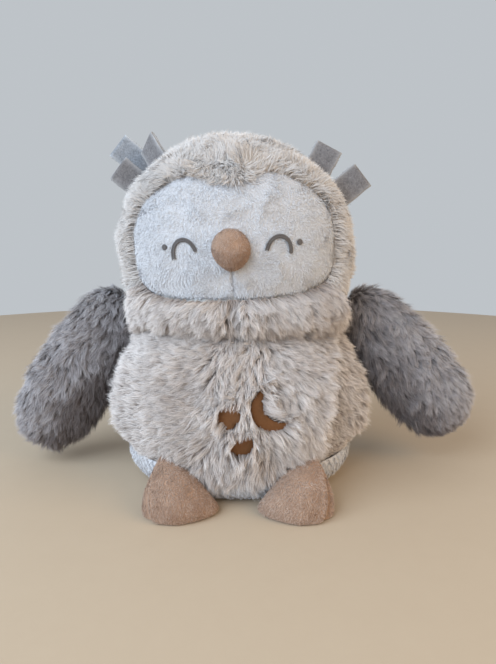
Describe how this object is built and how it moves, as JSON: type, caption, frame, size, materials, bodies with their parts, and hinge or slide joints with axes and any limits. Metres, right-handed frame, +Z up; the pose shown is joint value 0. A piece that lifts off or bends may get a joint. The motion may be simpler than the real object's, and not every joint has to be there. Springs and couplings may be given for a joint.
{
  "type": "plush owl",
  "caption": "Seated stuffed owl with a hooded head, short-pile face, beak, felt tabs, hinged stuffed wings and feet, and belly patches.",
  "frame": {"origin": "middle of the flat seat, where the base panel rests", "axes": "+Z up, the owl looks along -Y, +X is the owl's own left"},
  "size_m": [0.3307, 0.1624, 0.2347],
  "materials": {
    "filling": "loose polyester fibre",
    "beige_fur": "long pile, darker at the roots and frosted at the tips",
    "grey_fur": "dense long pile, dark grey",
    "white_velour": "short soft pile, white",
    "tan_velour": "short soft pile, tan",
    "brown_suede": "smooth suede-like imitation, brown",
    "eye_thread": "satin-stitched embroidery, dark grey",
    "grey_felt": "folded felt, mid grey",
    "light_felt": "folded felt, pale blue grey"
  },
  "bodies": {
    "torso": {"body_filling": "filling", "belly_panel": "beige_fur", "back_panel": "beige_fur", "base_panel": "white_velour", "head_filling": "filling", "hood_front": "beige_fur", "hood_back": "beige_fur", "face_panel": "white_velour", "chin_band": "beige_fur", "beak": "tan_velour", "left_eye_arc": "eye_thread", "right_eye_arc": "eye_thread", "left_eye_dot": "eye_thread", "right_eye_dot": "eye_thread", "right_tab_low": "grey_felt", "right_tab_back": "light_felt", "right_tab_high": "grey_felt", "left_tab_high": "grey_felt", "left_tab_low": "grey_felt", "moon_patch": "brown_suede", "star_patch": "brown_suede", "dot_patch": "brown_suede"},
    "left_wing": {"left_wing": "grey_fur"},
    "right_wing": {"right_wing": "grey_fur"},
    "left_foot": {"left_foot": "tan_velour"},
    "right_foot": {"right_foot": "tan_velour"}
  },
  "joints": [
    {"name": "left_wing_swing", "type": "hinge", "parent": "torso", "child": "left_wing", "pos_m": [0.08855, 0, 0.112], "axis": [0, -1, 0], "range_deg": [0, 75], "stiffness_Nm_per_rad": 0.01},
    {"name": "right_wing_swing", "type": "hinge", "parent": "torso", "child": "right_wing", "pos_m": [-0.08946, 0, 0.112], "axis": [0, 1, 0], "range_deg": [0, 75], "stiffness_Nm_per_rad": 0.01},
    {"name": "left_foot_lift", "type": "hinge", "parent": "torso", "child": "left_foot", "pos_m": [0.04642, -0.06188, 0.03601], "axis": [-1, 0, 0], "range_deg": [0, 25], "stiffness_Nm_per_rad": 0.01},
    {"name": "right_foot_lift", "type": "hinge", "parent": "torso", "child": "right_foot", "pos_m": [-0.04642, -0.06188, 0.03601], "axis": [-1, 0, 0], "range_deg": [0, 25], "stiffness_Nm_per_rad": 0.01}
  ]
}
